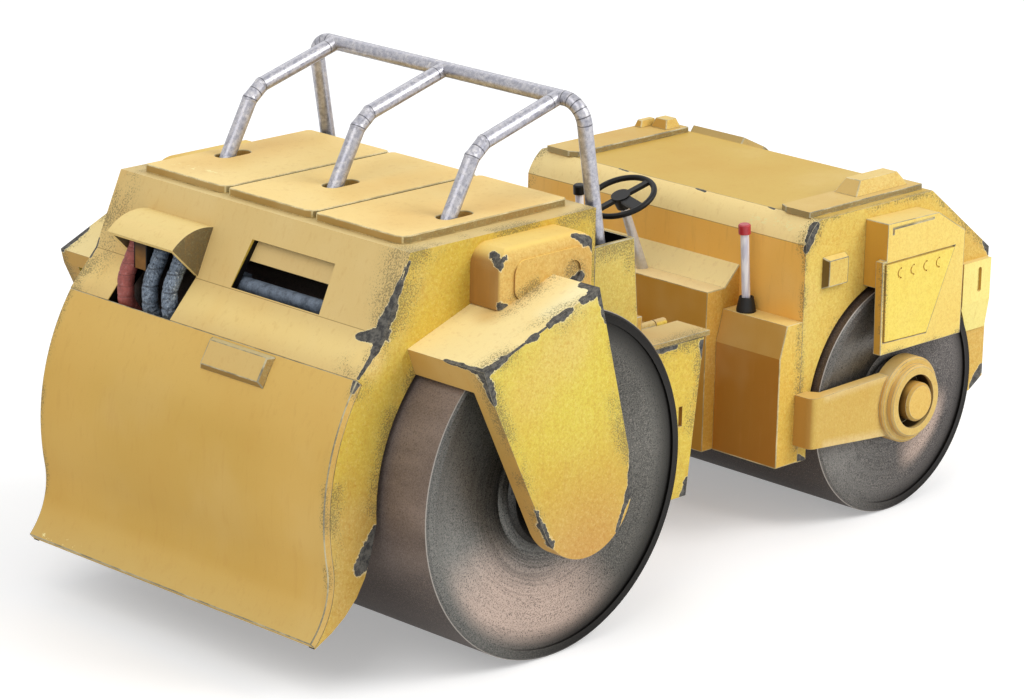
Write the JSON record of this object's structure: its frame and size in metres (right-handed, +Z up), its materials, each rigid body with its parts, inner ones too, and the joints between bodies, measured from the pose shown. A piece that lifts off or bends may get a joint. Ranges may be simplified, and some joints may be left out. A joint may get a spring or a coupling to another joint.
{
  "type": "toy road roller",
  "caption": "Articulated tandem road roller toy with a tall rear unit, a low front unit, full-width drums, a tubular roll cage, step boxes with lids, and a steering wheel.",
  "frame": {"origin": "on the ground, under the middle of the machine", "axes": "+X forward along the machine, from the tall rear unit to the low front unit; +Y to its left; +Z up"},
  "size_m": [0.2894, 0.177, 0.1515],
  "materials": {
    "yellow_paint": "satin, worn at the edges",
    "drum_steel": "brushed in rings, dark",
    "galvanised_tube": "mottled galvanised",
    "bright_steel": "satin",
    "axle_steel": "oiled",
    "worn_grey_paint": "matt, worn to the primer",
    "bronze_bush": "satin",
    "red_hose": "matt",
    "grey_hose": "matt, braided",
    "black_steel": "matt",
    "grey_tube": "mottled",
    "black_vinyl": "satin",
    "black_plastic": "gloss",
    "red_plastic": "gloss",
    "white_plastic": "gloss"
  },
  "bodies": {
    "rear_unit": {"rear_shell": "yellow_paint", "rear_apron": "yellow_paint", "hatch_left": "yellow_paint", "hatch_middle": "yellow_paint", "hatch_right": "yellow_paint", "hose_hood": "yellow_paint", "hose_red": "red_hose", "hoses_grey": "grey_hose", "hose_manifold": "black_steel", "vent_flap": "yellow_paint", "vent_tube": "grey_tube", "apron_plate": "yellow_paint", "roll_hoop": "galvanised_tube", "cage_strut_left": "galvanised_tube", "cage_strut_middle": "galvanised_tube", "cage_strut_right": "galvanised_tube", "yoke_left": "yellow_paint", "yoke_right": "yellow_paint", "side_tank_left": "yellow_paint", "side_tank_right": "yellow_paint", "cockpit_tub": "yellow_paint", "rear_frame": "yellow_paint", "step_box_left": "yellow_paint", "step_box_right": "yellow_paint", "lid_hinge_pins": "bright_steel", "seat_base": "black_steel", "seat_cushions": "black_vinyl", "rear_axle": "axle_steel"},
    "rear_drum": {"rear_drum_shell": "drum_steel", "rear_drum_ends": "drum_steel", "rear_drum_bushes": "bronze_bush"},
    "lid_left": {"step_lid_left": "yellow_paint"},
    "lid_right": {"step_lid_right": "yellow_paint"},
    "front_unit": {"front_shell": "yellow_paint", "roof_strips": "yellow_paint", "strip_blocks": "yellow_paint", "nose_hatch": "worn_grey_paint", "centre_console": "yellow_paint", "side_console_left": "yellow_paint", "side_console_right": "yellow_paint", "side_shield_left": "yellow_paint", "side_shield_right": "yellow_paint", "access_panels": "yellow_paint", "marker_blocks": "yellow_paint", "corner_boxes": "yellow_paint", "swing_arm_left": "yellow_paint", "swing_arm_right": "yellow_paint", "front_axle": "axle_steel", "front_hub_caps": "yellow_paint", "front_hitch": "yellow_paint", "hitch_pin": "axle_steel", "steering_column": "bright_steel", "lever_boots": "black_plastic"},
    "front_drum": {"front_drum_shell": "drum_steel", "front_drum_ends": "drum_steel"},
    "steering": {"steering_wheel": "black_plastic"},
    "lever_left": {"lever_left": "white_plastic", "lever_cap_black": "black_plastic"},
    "lever_right": {"lever_right": "white_plastic", "lever_cap_red": "red_plastic"}
  },
  "joints": [
    {"name": "articulation", "type": "hinge", "parent": "rear_unit", "child": "front_unit", "pos_m": [0.0145, 0, 0.046], "axis": [0, 0, 1], "range_deg": [-30, 30]},
    {"name": "rear_drum_spin", "type": "hinge", "parent": "rear_unit", "child": "rear_drum", "pos_m": [-0.0689, 0, 0.05], "axis": [0, 1, 0], "continuous": true},
    {"name": "front_drum_spin", "type": "hinge", "parent": "front_unit", "child": "front_drum", "pos_m": [0.0983, 0, 0.037], "axis": [0, 1, 0], "continuous": true},
    {"name": "steering_turn", "type": "hinge", "parent": "front_unit", "child": "steering", "pos_m": [0.03771, 0, 0.09668], "axis": [-0.3987, 0, 0.9171], "continuous": true},
    {"name": "lever_left_rock", "type": "hinge", "parent": "front_unit", "child": "lever_left", "pos_m": [0.0465, 0.025, 0.0766], "axis": [0, 1, 0], "range_deg": [-7, 7]},
    {"name": "lever_right_rock", "type": "hinge", "parent": "front_unit", "child": "lever_right", "pos_m": [0.052, -0.0385, 0.0703], "axis": [0, 1, 0], "range_deg": [-7, 7]},
    {"name": "lid_left_open", "type": "hinge", "parent": "rear_unit", "child": "lid_left", "pos_m": [-0.0039, 0.0454, 0.0749], "axis": [1, 0, 0], "range_deg": [0, 100]},
    {"name": "lid_right_open", "type": "hinge", "parent": "rear_unit", "child": "lid_right", "pos_m": [-0.0039, -0.0454, 0.0749], "axis": [-1, 0, 0], "range_deg": [0, 100]}
  ]
}
